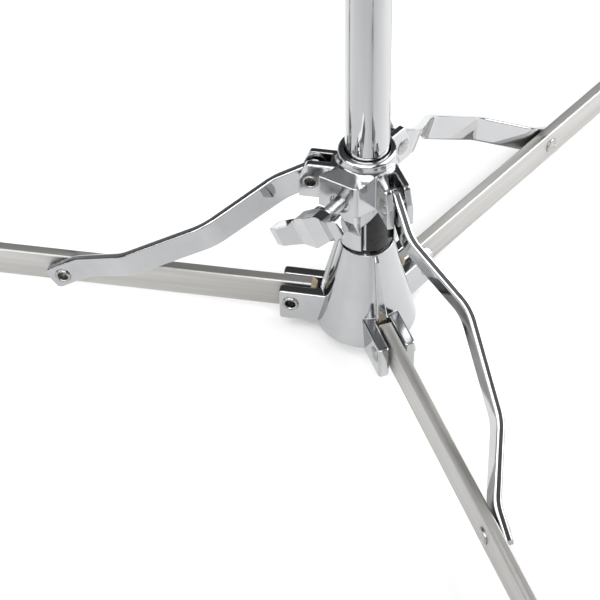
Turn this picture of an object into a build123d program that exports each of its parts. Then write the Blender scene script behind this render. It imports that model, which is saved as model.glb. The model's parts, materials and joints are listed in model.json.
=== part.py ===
from build123d import *
import os
from math import atan2, cos, pi, radians, sin, sqrt

# Cymbal boom stand with a folding flat tripod base.
# Millimetres, +Z up. The origin is on the floor, on the axis of the upright tubes.
# Around the base, r is measured outward from that axis along a leg, n to the left of the leg
# (towards larger azimuth), and h upward from the level of the three leg pivots.

# ---- Driving dimensions: base -------------------------------------------------------------
LEGS = {"a": 150.0, "b": 270.0, "c": 30.0}  # leg letter: azimuth in degrees
PIVOT_Z = 26.0
PIVOT_R = 44.5
TUBE_R = 12.7
TUBE_WALL = 1.2
TUBE_BOTTOM_Z = 20.0
TUBE_TOP_Z = 520.0
SEAT_GAP = 0.05  # radial gap between a tube and the part it is fixed in
PIN_GAP = 0.05  # radial running gap around pins, screws and sliding rods
FACE_GAP = 0.3  # gap between faces that move past each other

# Hub casting
HUB_BOTTOM_H = -10.7
HUB_TOP_H = 51.7
HUB_BOTTOM_R = 30.2
HUB_TOP_R = 15.9
HUB_WALL = 5.0
LUG_LOW_H = -13.3
LUG_HIGH_H = 9.3
LUG_END_R = 51.7
LUG_ROOT_R = 27.5
LUG_OUTER_N = 11.4
LUG_INNER_N = 4.7
EAR_CENTRE_N = (LUG_OUTER_N + LUG_INNER_N) / 2
EAR_CORNER = 1.9
EAR_EDGE = 1.0
RIB_PROUD = 2.6
RIB_TOP_WIDTH = 3.0
RIB_LOW_WIDTH = 7.0

# Legs: flat rectangular tubes, almost level when open
LEG_SLOPE = -0.62
LEG_WIDTH = 7.0
LEG_HEIGHT = 21.0
LEG_WALL = 1.2
LEG_INNER_END = 11.5  # from the pivot towards the tube
LEG_LENGTH = 285.0  # from the pivot to the outer end
LEG_CORNER = 1.2
FOOT_START_R = 305.0
FOOT_END_R = 334.0
FOOT_HALF_WIDTH = 7.0
FOOT_TOP_H = 9.6

# Rivets
SHANK_R = 4.0
RIVET_HEAD_R = 5.2
RIVET_HEAD_HEIGHT = 1.3
RIVET_BORE_R = 3.1
RIVET_BORE_DEPTH = 7.0
CURL_R = 5.1
CURL_HEIGHT = 1.2
SMALL_CURL_R = 4.4  # rolled tail of the collar's rivets, almost flush
SMALL_CURL_HEIGHT = 0.5

# Stays: flat bars, straight seen from the side, bowed sideways around the hub
STAY_PIN_R = 30.3
STAY_PIN_H = 102.6
STAY_PIN_N = 5.7
LEG_PIN_DISTANCE = 143.1  # along the leg, from pivot to stay pin
STAY_THICKNESS = 5.0
STAY_HEIGHT = 16.0
STAY_OUTER_N = 9.7  # outer face of the stay where it lies beside the leg
STAY_END = 9.0
STAY_BEND_R = 30.0
STAY_ROUND = 1.4

# Stay collar, sliding on the lower tube
COLLAR_R = 18.0
COLLAR_SKIRT_H = 57.0
COLLAR_BODY_H = 91.0
COLLAR_SHOULDER_H = 112.0
COLLAR_NECK_H = 116.0
COLLAR_TOP_H = 122.0
COLLAR_RING_R = 17.0
COLLAR_RING_ROUND = 2.6
NECK_REACH = 5.5  # how far the neck's hollow curve runs out from the ring
COLLAR_EAR_OUTER = 7.7
COLLAR_EAR_INNER = 3.7
COLLAR_EAR_END_R = 36.9
COLLAR_EAR_TOP_R = 32.6
COLLAR_EAR_TOP_H = 115.5
COLLAR_EAR_EDGE = 1.1
COLLAR_SLOT_ROOT_R = 19.2
BUSH_OUTER_R = 15.5
BUSH_LOW_H = 55.0
BUSH_HIGH_H = 117.8
BUSH_SLIT = 1.6
BUSH_SLIT_AZIMUTH = 245.0
WINDOW_HALF_WIDTH = 10.6
WINDOW_SIDE_H = 76.0
WINDOW_PEAK_H = 90.0
WINDOW_AZIMUTHS = (35.0, 155.0, 275.0)
BOSS_AZIMUTH = 219.5
BOSS_FACE_R = 25.6
BOSS_CORNER = 3.5
BOSS_SLOPE_RISE = 4.2
BOSS_SLOPE_ANGLE = 60.0  # of the shoulder, from upright
BOSS_FOOT_H = 70.0
BOSS_FOOT_LEFT_N = 5.8
BOSS_FOOT_WIDTH = 14.4
BOLT_AZIMUTH = 212.0
BOLT_H = 97.5

# Wing bolts
BOLT_R = 4.0
BOLT_PITCH = 1.25
BOLT_THREAD_DEPTH = 0.5
WING_LOW = 5.0  # height of the wings' near side above the neck's seat, before scaling
WING_NECK_R = 6.6
WING_ROLL = 35.0  # the collar's wing line, turned about the bolt's axis
COLLAR_BOLT_OUT = 13.0  # screw showing between the collar and the wings

# ---- Driving dimensions: upright ----------------------------------------------------------
MID_TUBE_R = 9.525
MID_TUBE_WALL = 1.0
MID_TUBE_BOTTOM_Z = 300.0
MID_TUBE_TOP_Z = 770.0
UPPER_TUBE_R = 6.35
UPPER_TUBE_WALL = 1.0
UPPER_TUBE_BOTTOM_Z = 560.0
UPPER_TUBE_TOP_Z = 882.0
CLAMP_AZIMUTH = 219.5
CLAMP_LENGTH = 52.0
CLAMP_HEAD = 20.0  # height of the clamp above its own tube
CLAMP_BUSH_DEPTH = 45.0

# ---- Driving dimensions: tilter and boom --------------------------------------------------
TILTER_Z = 905.0
TILTER_DISC_R = 18.0
TILTER_DISC_THICK = 10.0
TOOTH_COUNT = 24
TOOTH_HEIGHT = 0.9
BOOM_X = 26.0
BOOM_RISE = 30.0
BOOM_R = 5.0
BOOM_TAIL = 115.0  # rod behind the tilter
BOOM_SLEEVE_R = 11.0
BOOM_SLEEVE_HALF = 22.0
BOOM_BUSH_R = 7.0

# ---- Driving dimensions: cymbal seat ------------------------------------------------------
FELT_R = 19.0
SEAT_Y = FOOT_END_R - FELT_R  # the felts reach as far one way as the front foot the other
SEAT_DISC_R = 11.0
SEAT_DISC_THICK = 8.0
ROD_R = 4.0
SEAT_NECK_TOP = 20.0  # heights above the seat's pivot
CUP_TOP = 23.0
LOWER_FELT_TOP = 35.3
UPPER_FELT_LOW = 41.6
UPPER_FELT_TOP = 51.6
ROD_TOP = 96.0
ROD_THREAD_LENGTH = 36.0

os.makedirs("parts", exist_ok=True)


# ---- Placing and small shared shapes ------------------------------------------------------
def radial(azimuth):
    """Unit vector pointing outward at an azimuth."""
    return Vector(cos(radians(azimuth)), sin(radians(azimuth)), 0)


def tangent(azimuth):
    """Unit vector pointing left of the outward direction."""
    return Vector(-sin(radians(azimuth)), cos(radians(azimuth)), 0)


def side_plane(azimuth, n=0.0):
    """Upright plane along a leg, n to its left: x is r, y is h, and it faces right."""
    origin = tangent(azimuth) * n + Vector(0, 0, PIVOT_Z)
    return Plane(origin=origin, x_dir=radial(azimuth), z_dir=-tangent(azimuth))


def face_plane(azimuth, r, h, roll=0.0):
    """Upright plane facing outward at radius r: x runs left, turned by roll towards +Z."""
    origin = radial(azimuth) * r + Vector(0, 0, PIVOT_Z + h)
    x_dir = tangent(azimuth) * cos(radians(roll)) + Vector(0, 0, sin(radians(roll)))
    return Plane(origin=origin, x_dir=x_dir, z_dir=radial(azimuth))


def leg_plane(azimuth, n=0.0):
    """Side plane at the leg pivot, following the leg's small slope: x runs along the leg."""
    origin = radial(azimuth) * PIVOT_R + tangent(azimuth) * n + Vector(0, 0, PIVOT_Z)
    along = radial(azimuth) * cos(radians(LEG_SLOPE)) + Vector(0, 0, sin(radians(LEG_SLOPE)))
    return Plane(origin=origin, x_dir=along, z_dir=-tangent(azimuth))


def pin_plane(azimuth, r, h, n):
    """Plane across a hinge pin at (r, h), at n, facing left along the pin."""
    origin = radial(azimuth) * r + tangent(azimuth) * n + Vector(0, 0, PIVOT_Z + h)
    return Plane(origin=origin, x_dir=radial(azimuth), z_dir=tangent(azimuth))


def save(builder, name):
    """Label a finished piece and write its STEP file."""
    builder.part.label = name
    export_step(builder.part, f"parts/{name}.step")


def hub_radius(h):
    """Radius of the hub's cone at height h."""
    share = (h - HUB_BOTTOM_H) / (HUB_TOP_H - HUB_BOTTOM_H)
    return HUB_BOTTOM_R + share * (HUB_TOP_R - HUB_BOTTOM_R)


def ring(outer_r, inner_r, low, high):
    """Plain upright ring."""
    with BuildPart() as body:
        with BuildSketch(Plane.XY.offset(low)):
            Circle(outer_r)
            Circle(inner_r, mode=Mode.SUBTRACT)
        extrude(amount=high - low)
    return body.part


def rivet(grip, curl_r=CURL_R, curl_height=CURL_HEIGHT):
    """Tubular rivet on Z: head under z = 0, rolled tail above z = grip."""
    bore_end = grip - RIVET_BORE_DEPTH
    with BuildPart() as body:
        with BuildSketch(Plane.XZ):
            with BuildLine():
                ThreePointArc(
                    (0, -RIVET_HEAD_HEIGHT),
                    (RIVET_HEAD_R * 0.7, -RIVET_HEAD_HEIGHT * 0.72),
                    (RIVET_HEAD_R, 0),
                )
                Polyline((RIVET_HEAD_R, 0), (SHANK_R, 0), (SHANK_R, grip), (curl_r, grip))
                ThreePointArc(
                    (curl_r, grip),
                    ((curl_r + RIVET_BORE_R) / 2, grip + curl_height),
                    (RIVET_BORE_R, grip),
                )
                Polyline(
                    (RIVET_BORE_R, grip),
                    (RIVET_BORE_R, bore_end),
                    (0, bore_end),
                    (0, -RIVET_HEAD_HEIGHT),
                )
            make_face()
        revolve(axis=Axis.Z)
    return body.part


def thread(radius, low, high):
    """Screw shank on Z with ridges at the thread's pitch."""
    root = radius - BOLT_THREAD_DEPTH
    count = int((high - low) / BOLT_PITCH)
    points = [(0, low), (root, low)]
    for ridge in range(count):
        points.append((radius, low + (ridge + 0.5) * BOLT_PITCH))
        points.append((root, low + (ridge + 1.0) * BOLT_PITCH))
    points.append((root, high))
    points.append((0, high))
    with BuildPart() as body:
        with BuildSketch(Plane.XZ):
            with BuildLine():
                Polyline(*points, close=True)
            make_face()
        revolve(axis=Axis.Z)
    return body.part


def wing_head(size):
    """Cast butterfly head on Z: round neck from z = 0, wings along X, swept towards +Z."""
    with BuildPart() as head:
        with BuildSketch(Plane.XZ.offset(-12 * size)):
            with BuildLine():
                Polyline(
                    (0, WING_LOW * size),
                    (8 * size, WING_LOW * size),
                    (25.5 * size, (WING_LOW + 5) * size),
                    (27 * size, (WING_LOW + 11) * size),
                    (21 * size, (WING_LOW + 12) * size),
                    (10 * size, (WING_LOW + 7.5) * size),
                    (0, (WING_LOW + 9) * size),
                    close=True,
                )
            make_face()
            fillet(vertices().filter_by_position(Axis.X, 5 * size, 28 * size), 1.8 * size)
            mirror(about=Plane.YZ)
        extrude(amount=24 * size)
        with BuildSketch(Plane.XY):
            with BuildLine():
                Polyline(
                    (0, 7.5 * size),
                    (7 * size, 7 * size),
                    (14 * size, 4.4 * size),
                    (26 * size, 5.4 * size),
                    (27 * size, -4 * size),
                    (12 * size, -7.5 * size),
                    (0, -10.5 * size),
                    close=True,
                )
            make_face()
            fillet(vertices().filter_by_position(Axis.X, 5 * size, 28 * size), 2.2 * size)
            mirror(about=Plane.YZ)
        extrude(amount=24 * size, mode=Mode.INTERSECT)
        with BuildSketch(Plane.XZ):
            with BuildLine():
                Polyline(
                    (0, 0),
                    (WING_NECK_R * size - 1, 0),
                    (WING_NECK_R * size, 1),
                    (WING_NECK_R * size, (WING_LOW + 2) * size),
                    (0, (WING_LOW + 2) * size),
                    close=True,
                )
            make_face()
        revolve(axis=Axis.Z)
    return head.part


def wing_bolt(name, plane, size, radius, inside, outside):
    """Wing bolt whose axis leaves a face along the plane's normal."""
    with BuildPart() as bolt:
        with Locations(plane.location):
            add(thread(radius, -inside, outside + 1))
        with Locations(plane.offset(outside).location):
            add(wing_head(size))
    save(bolt, name)


def toothed_disc(radius, thickness, bore):
    """Disc on Z from z = 0 upward with radial teeth cut in its top face."""
    with BuildPart() as disc:
        Cylinder(radius, thickness, align=(Align.CENTER, Align.CENTER, Align.MIN))
        tooth_width = pi * radius / TOOTH_COUNT
        with BuildSketch(Plane.XZ.offset(-radius * 1.2)):
            with BuildLine():
                Polyline(
                    (-tooth_width / 2, thickness + 0.01),
                    (tooth_width / 2, thickness + 0.01),
                    (0, thickness - TOOTH_HEIGHT),
                    close=True,
                )
            make_face()
        notch = extrude(amount=radius * 1.2, mode=Mode.PRIVATE)
        with PolarLocations(0, TOOTH_COUNT):
            add(notch, mode=Mode.SUBTRACT)
        with Locations((0, 0, thickness - TOOTH_HEIGHT)):
            Cylinder(bore * 1.7, TOOTH_HEIGHT, align=(Align.CENTER, Align.CENTER, Align.MIN))
        Cylinder(bore, 3 * thickness, mode=Mode.SUBTRACT)
    return disc.part


# ---- Base: hub, lower tube and its fixings ------------------------------------------------
def hub_rib():
    """Raised rib along +X up the cone, widening towards its lug."""
    with BuildPart() as rib:
        with BuildSketch(Plane.XZ.offset(-RIB_LOW_WIDTH)):
            with BuildLine():
                Polyline(
                    (HUB_TOP_R - 2, PIVOT_Z + LUG_HIGH_H - 2),
                    (hub_radius(LUG_HIGH_H) + RIB_PROUD, PIVOT_Z + LUG_HIGH_H - 2),
                    (hub_radius(HUB_TOP_H - 4) + RIB_PROUD * 0.7, PIVOT_Z + HUB_TOP_H - 4),
                    (HUB_TOP_R - 0.6, PIVOT_Z + HUB_TOP_H),
                    (HUB_TOP_R - 2, PIVOT_Z + HUB_TOP_H),
                    close=True,
                )
            make_face()
        extrude(amount=2 * RIB_LOW_WIDTH)
        with BuildSketch(Plane.YZ):
            with BuildLine():
                Polyline(
                    (-RIB_LOW_WIDTH / 2, PIVOT_Z),
                    (RIB_LOW_WIDTH / 2, PIVOT_Z),
                    (RIB_TOP_WIDTH / 2, PIVOT_Z + HUB_TOP_H),
                    (-RIB_TOP_WIDTH / 2, PIVOT_Z + HUB_TOP_H),
                    close=True,
                )
            make_face()
        extrude(amount=2 * HUB_BOTTOM_R, mode=Mode.INTERSECT)
        fillet(rib.edges().filter_by_position(Axis.X, HUB_TOP_R, 2 * HUB_BOTTOM_R), 0.9)
    return rib.part


def beyond(shape, distance):
    """True for a shape whose centre is further than a distance from the upright's axis."""
    centre = shape.center()
    return sqrt(centre.X**2 + centre.Y**2) > distance


def rim_edges(part, height):
    """Edges of a part that lie level at a height above the pivots, clear of the hub's cone."""
    level = part.edges().filter_by_position(Axis.Z, PIVOT_Z + height, PIVOT_Z + height)
    return level.filter_by(lambda edge: beyond(edge, HUB_BOTTOM_R + 0.4))


with BuildPart() as hub:
    with BuildSketch(Plane.XZ):
        with BuildLine():
            Polyline(
                (0, PIVOT_Z + HUB_BOTTOM_H),
                (HUB_BOTTOM_R, PIVOT_Z + HUB_BOTTOM_H),
                (HUB_TOP_R, PIVOT_Z + HUB_TOP_H),
                (0, PIVOT_Z + HUB_TOP_H),
                close=True,
            )
        make_face()
    revolve(axis=Axis.Z)
    for azimuth in LEGS.values():
        with BuildSketch(Plane.XY.offset(PIVOT_Z + LUG_LOW_H)):
            with Locations(Location((0, 0, 0), (0, 0, azimuth))):
                for side in (1, -1):
                    with Locations(((LUG_END_R + HUB_TOP_R) / 2, side * EAR_CENTRE_N)):
                        Rectangle(LUG_END_R - HUB_TOP_R, LUG_OUTER_N - LUG_INNER_N)
            fillet(vertices().filter_by(lambda v: beyond(v, HUB_BOTTOM_R + 10)), EAR_CORNER)
        extrude(amount=LUG_HIGH_H - LUG_LOW_H)
        with BuildSketch(side_plane(azimuth, LUG_INNER_N)):
            with Locations(((HUB_TOP_R + LUG_ROOT_R) / 2, (LUG_HIGH_H + LUG_LOW_H) / 2)):
                Rectangle(LUG_ROOT_R - HUB_TOP_R, LUG_HIGH_H - LUG_LOW_H)
        extrude(amount=2 * LUG_INNER_N)
        with BuildSketch(side_plane(azimuth, LUG_INNER_N)):
            with Locations((LUG_ROOT_R + LUG_END_R / 2, 0)):
                Rectangle(LUG_END_R, 2 * LUG_END_R)
        slot = extrude(amount=2 * LUG_INNER_N, mode=Mode.PRIVATE)
        add(slot, mode=Mode.SUBTRACT)
    fillet(rim_edges(hub, LUG_HIGH_H), EAR_EDGE)
    fillet(rim_edges(hub, LUG_LOW_H), EAR_EDGE)
    with PolarLocations(0, len(LEGS), start_angle=LEGS["c"]):
        add(hub_rib())
    with BuildSketch(Plane.XZ):
        with BuildLine():
            Polyline(
                (TUBE_R + HUB_WALL, 0),
                (hub_radius(HUB_BOTTOM_H) - HUB_WALL - 2, 0),
                (hub_radius(LUG_HIGH_H + 12) - HUB_WALL, PIVOT_Z + LUG_HIGH_H + 12),
                (TUBE_R + HUB_WALL - 1, PIVOT_Z + LUG_HIGH_H + 12),
                close=True,
            )
        make_face()
    revolve(axis=Axis.Z, mode=Mode.SUBTRACT)
    with BuildSketch(Plane.XY.offset(TUBE_BOTTOM_Z)):
        Circle(TUBE_R + SEAT_GAP)
    extrude(amount=HUB_TOP_H + PIVOT_Z, mode=Mode.SUBTRACT)
    with BuildSketch(Plane.XY.offset(PIVOT_Z + HUB_TOP_H - 2.2)):
        Circle(TUBE_R + 1.5)
    extrude(amount=5, mode=Mode.SUBTRACT)
    with BuildSketch(Plane.XY):
        Circle(BOLT_R + 0.3)
    extrude(amount=TUBE_BOTTOM_Z + 1, mode=Mode.SUBTRACT)
    for azimuth in LEGS.values():
        with BuildSketch(side_plane(azimuth, LUG_OUTER_N + 1)):
            with Locations((PIVOT_R, 0)):
                Circle(SHANK_R + SEAT_GAP)
        extrude(amount=2 * LUG_OUTER_N + 2, mode=Mode.SUBTRACT)
save(hub, "hub")

with BuildPart() as lower_tube:
    add(ring(TUBE_R, TUBE_R - TUBE_WALL, TUBE_BOTTOM_Z, TUBE_TOP_Z))
save(lower_tube, "lower_tube")

PLUG_HEIGHT = 14.0
with BuildPart() as tube_end_plug:
    plug_top = TUBE_BOTTOM_Z + PLUG_HEIGHT
    add(ring(TUBE_R - TUBE_WALL - SEAT_GAP, BOLT_R + SEAT_GAP, TUBE_BOTTOM_Z + 0.1, plug_top))
save(tube_end_plug, "tube_end_plug")

with BuildPart() as hub_screw:
    add(thread(BOLT_R, PIVOT_Z + HUB_BOTTOM_H, TUBE_BOTTOM_Z + PLUG_HEIGHT - 1))
    with BuildSketch(Plane.XY.offset(PIVOT_Z + HUB_BOTTOM_H)):
        Circle(7.0)
    extrude(amount=-4)
    fillet(hub_screw.faces().sort_by(Axis.Z)[0].edges(), 1.2)
    with BuildSketch(Plane.XY.offset(PIVOT_Z + HUB_BOTTOM_H - 4)):
        RegularPolygon(3.0, 6)
    extrude(amount=2.5, mode=Mode.SUBTRACT)
save(hub_screw, "hub_screw")

with BuildPart() as leg_pivot_rivets:
    for azimuth in LEGS.values():
        with Locations(pin_plane(azimuth, PIVOT_R, 0, -LUG_OUTER_N).location):
            add(rivet(2 * LUG_OUTER_N))
save(leg_pivot_rivets, "leg_pivot_rivets")


# ---- Legs ---------------------------------------------------------------------------------
def leg_box(azimuth, start, end, height, width):
    """Box along a leg, centred on its middle plane."""
    with BuildPart() as box:
        with BuildSketch(leg_plane(azimuth, width / 2)):
            with Locations(((start + end) / 2, 0)):
                Rectangle(end - start, height)
        extrude(amount=width)
    return box.part


def build_leg_bar(letter, azimuth):
    """Rectangular tube with cross holes for the pivot and the stay pin."""
    bar_plane = leg_plane(azimuth, LEG_WIDTH / 2)
    with BuildPart() as leg_bar:
        add(leg_box(azimuth, -LEG_INNER_END, LEG_LENGTH, LEG_HEIGHT, LEG_WIDTH))
        along = Axis((0, 0, 0), bar_plane.x_dir)
        fillet(leg_bar.edges().filter_by(along), LEG_CORNER)
        hollow_height = LEG_HEIGHT - 2 * LEG_WALL
        hollow_width = LEG_WIDTH - 2 * LEG_WALL
        hollow = leg_box(azimuth, -2 * LEG_INNER_END, LEG_LENGTH + 1, hollow_height, hollow_width)
        add(hollow, mode=Mode.SUBTRACT)
        with BuildSketch(bar_plane):
            Circle(SHANK_R + PIN_GAP)
            with Locations((LEG_PIN_DISTANCE, 0)):
                Circle(SHANK_R + SEAT_GAP)
        extrude(amount=LEG_WIDTH, mode=Mode.SUBTRACT)
    save(leg_bar, f"leg_bar_{letter}")


def build_leg_plug(letter, azimuth):
    """Moulded plug in the leg's inner end, with a bevelled cap."""
    cap = 3.0
    bevel = 3.0
    outer = -LEG_INNER_END - cap
    half = LEG_HEIGHT / 2
    with BuildPart() as leg_plug:
        with BuildSketch(leg_plane(azimuth, LEG_WIDTH / 2)):
            with BuildLine():
                Polyline(
                    (-LEG_INNER_END, half),
                    (outer, half - bevel),
                    (outer, bevel - half),
                    (-LEG_INNER_END, -half),
                    close=True,
                )
            make_face()
        extrude(amount=LEG_WIDTH)
        inner_height = LEG_HEIGHT - 2 * LEG_WALL - 2 * SEAT_GAP
        inner_width = LEG_WIDTH - 2 * LEG_WALL - 2 * SEAT_GAP
        add(leg_box(azimuth, -LEG_INNER_END, -SHANK_R - 1.5, inner_height, inner_width))
    save(leg_plug, f"leg_plug_{letter}")


def build_foot(letter, azimuth):
    """Rubber boot over the leg's outer end, flat underneath."""
    length = FOOT_END_R - FOOT_START_R
    height = PIVOT_Z + FOOT_TOP_H + 3
    with BuildPart() as foot:
        with BuildSketch(face_plane(azimuth, FOOT_START_R, -PIVOT_Z)):
            with Locations((0, height / 2)):
                Rectangle(2 * FOOT_HALF_WIDTH, height)
        extrude(amount=length)
        upper = foot.edges().filter_by_position(Axis.Z, 0.1, height + 1)
        fillet(upper, 3.0)
        with BuildSketch(side_plane(azimuth, FOOT_HALF_WIDTH + 1)):
            with Locations((FOOT_START_R - 1, -PIVOT_Z)):
                Rectangle(9, 8, align=(Align.MIN, Align.CENTER))
        extrude(amount=2 * FOOT_HALF_WIDTH + 2, mode=Mode.SUBTRACT)
        pocket_height = LEG_HEIGHT + 2 * SEAT_GAP
        pocket_width = LEG_WIDTH + 2 * SEAT_GAP
        pocket_end = LEG_LENGTH + 0.1
        pocket_start = FOOT_START_R - PIVOT_R - 1
        pocket = leg_box(azimuth, pocket_start, pocket_end, pocket_height, pocket_width)
        add(pocket, mode=Mode.SUBTRACT)
    save(foot, f"rubber_foot_{letter}")


def build_leg_rivet(letter, azimuth):
    """Head and shank half of the stay pin, fixed in the leg."""
    pin = leg_plane(azimuth, LEG_WIDTH / 2)
    with BuildPart() as leg_rivet:
        with BuildSketch(pin):
            with Locations((LEG_PIN_DISTANCE, 0)):
                Circle(SHANK_R)
        extrude(amount=LEG_WIDTH)
        with BuildSketch(leg_plane(azimuth, -LEG_WIDTH / 2)):
            with Locations((LEG_PIN_DISTANCE, 0)):
                Circle(RIVET_HEAD_R)
        extrude(amount=RIVET_HEAD_HEIGHT)
        side = Axis((0, 0, 0), tangent(azimuth))
        fillet(leg_rivet.faces().sort_by(side)[0].edges(), RIVET_HEAD_HEIGHT - 0.2)
    save(leg_rivet, f"leg_stay_rivet_{letter}")


# ---- Stays --------------------------------------------------------------------------------
slope_rad = radians(LEG_SLOPE)
LEG_PIN_R = PIVOT_R + LEG_PIN_DISTANCE * cos(slope_rad)
LEG_PIN_H = LEG_PIN_DISTANCE * sin(slope_rad)
STAY_RUN = LEG_PIN_R - STAY_PIN_R
STAY_DROP = STAY_PIN_H - LEG_PIN_H
STAY_LENGTH = sqrt(STAY_RUN**2 + STAY_DROP**2)
STAY_ANGLE = atan2(STAY_DROP, STAY_RUN)

# Inner face of the bowed bar: (distance outward r, sideways n) at each bend.
STAY_BENDS = (
    (50.0, STAY_PIN_N - STAY_THICKNESS / 2),
    (88.0, 23.6),
    (139.5, 21.4),
    (175.5, STAY_OUTER_N - STAY_THICKNESS),
)


def stay_plane(azimuth):
    """Plane of a stay's length and its sideways bow, seen from above; origin at the collar pin."""
    origin = radial(azimuth) * STAY_PIN_R + Vector(0, 0, PIVOT_Z + STAY_PIN_H)
    along = radial(azimuth) * cos(STAY_ANGLE) - Vector(0, 0, sin(STAY_ANGLE))
    normal = radial(azimuth) * sin(STAY_ANGLE) + Vector(0, 0, cos(STAY_ANGLE))
    return Plane(origin=origin, x_dir=along, z_dir=normal)


def build_stay(letter, azimuth):
    """Flat bar bowed sideways, with a cross hole at each end."""
    plane = stay_plane(azimuth)
    bends = [((r - STAY_PIN_R) / cos(STAY_ANGLE), n) for r, n in STAY_BENDS]
    start = (-STAY_END + 0.5, bends[0][1])
    end = (STAY_LENGTH + STAY_END, bends[-1][1])
    with BuildPart() as stay:
        with BuildSketch(plane.offset(-STAY_HEIGHT / 2)):
            with BuildLine():
                inner_face = FilletPolyline(start, *bends, end, radius=STAY_BEND_R)
                offset(inner_face, amount=STAY_THICKNESS, side=Side.LEFT)
            make_face()
        extrude(amount=STAY_HEIGHT)
        across = Axis((0, 0, 0), tangent(azimuth))
        corners = stay.edges().filter_by(across).sort_by(Axis((0, 0, 0), plane.x_dir))
        fillet(corners[:2], 5.0)
        corners = stay.edges().filter_by(across).sort_by(Axis((0, 0, 0), plane.x_dir))
        chamfer(corners[-2:], 2.5)
        broad = stay.faces().filter_by(Axis((0, 0, 0), plane.z_dir))
        fillet(broad.edges().filter_by(across, reverse=True), STAY_ROUND)
        with BuildSketch(side_plane(azimuth, STAY_OUTER_N + 1)):
            with Locations((STAY_PIN_R, STAY_PIN_H)):
                Circle(SHANK_R + PIN_GAP)
            with Locations((LEG_PIN_R, LEG_PIN_H)):
                Circle(SHANK_R + SEAT_GAP)
        extrude(amount=STAY_OUTER_N + 1, mode=Mode.SUBTRACT)
    save(stay, f"stay_{letter}")


def build_stay_rivet_tail(letter, azimuth):
    """Shouldered, rolled tail half of the stay pin, fixed in the stay."""
    shoulder_low = LEG_WIDTH / 2 + FACE_GAP
    shoulder_high = STAY_OUTER_N - STAY_THICKNESS
    shoulder_r = 6.4
    with BuildPart() as tail:
        with BuildSketch(Plane.XZ):
            with BuildLine():
                Polyline(
                    (0, shoulder_low),
                    (shoulder_r, shoulder_low),
                    (shoulder_r, shoulder_high),
                    (SHANK_R, shoulder_high),
                    (SHANK_R, STAY_OUTER_N),
                    (CURL_R, STAY_OUTER_N),
                )
                ThreePointArc(
                    (CURL_R, STAY_OUTER_N),
                    ((CURL_R + RIVET_BORE_R) / 2, STAY_OUTER_N + CURL_HEIGHT),
                    (RIVET_BORE_R, STAY_OUTER_N),
                )
                Polyline(
                    (RIVET_BORE_R, STAY_OUTER_N),
                    (RIVET_BORE_R, shoulder_high + 0.5),
                    (0, shoulder_high + 0.5),
                    (0, shoulder_low),
                )
            make_face()
        revolve(axis=Axis.Z)
    with BuildPart() as placed:
        with Locations(pin_plane(azimuth, LEG_PIN_R, LEG_PIN_H, 0).location):
            add(tail.part)
    save(placed, f"stay_rivet_tail_{letter}")


for leg_letter, leg_azimuth in LEGS.items():
    build_leg_bar(leg_letter, leg_azimuth)
    build_leg_plug(leg_letter, leg_azimuth)
    build_foot(leg_letter, leg_azimuth)
    build_leg_rivet(leg_letter, leg_azimuth)
    build_stay(leg_letter, leg_azimuth)
    build_stay_rivet_tail(leg_letter, leg_azimuth)


# ---- Stay collar --------------------------------------------------------------------------
def collar_shell():
    """Turned outline of the collar: skirt, body and rounded top ring."""
    with BuildPart() as shell:
        with BuildSketch(Plane.XZ):
            with BuildLine():
                Polyline(
                    (0, PIVOT_Z + COLLAR_SKIRT_H),
                    (COLLAR_R, PIVOT_Z + COLLAR_SKIRT_H),
                    (COLLAR_R, PIVOT_Z + COLLAR_SHOULDER_H),
                    (COLLAR_RING_R, PIVOT_Z + COLLAR_NECK_H),
                    (COLLAR_RING_R, PIVOT_Z + COLLAR_TOP_H - COLLAR_RING_ROUND),
                )
                ThreePointArc(
                    (COLLAR_RING_R, PIVOT_Z + COLLAR_TOP_H - COLLAR_RING_ROUND),
                    (COLLAR_RING_R - 0.7, PIVOT_Z + COLLAR_TOP_H - 0.8),
                    (COLLAR_RING_R - 2.4, PIVOT_Z + COLLAR_TOP_H),
                )
                Polyline(
                    (COLLAR_RING_R - 2.4, PIVOT_Z + COLLAR_TOP_H),
                    (0, PIVOT_Z + COLLAR_TOP_H),
                    (0, PIVOT_Z + COLLAR_SKIRT_H),
                )
            make_face()
        revolve(axis=Axis.Z)
    return shell.part


def collar_neck():
    """Hollow curve between the collar's shoulder and its top ring."""
    low = PIVOT_Z + COLLAR_SHOULDER_H
    high = PIVOT_Z + COLLAR_TOP_H - COLLAR_RING_ROUND
    with BuildPart() as neck:
        with BuildSketch(Plane.XZ):
            with BuildLine():
                Polyline((0, high), (0, low), (COLLAR_RING_R + NECK_REACH, low))
                Line((COLLAR_RING_R + NECK_REACH, low), (COLLAR_RING_R + NECK_REACH, low + 0.8))
                ThreePointArc(
                    (COLLAR_RING_R + NECK_REACH, low + 0.8),
                    (COLLAR_RING_R + 1.6, low + 3.5),
                    (COLLAR_RING_R, high),
                )
                Line((COLLAR_RING_R, high), (0, high))
            make_face()
        revolve(axis=Axis.Z)
    return neck.part


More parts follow.
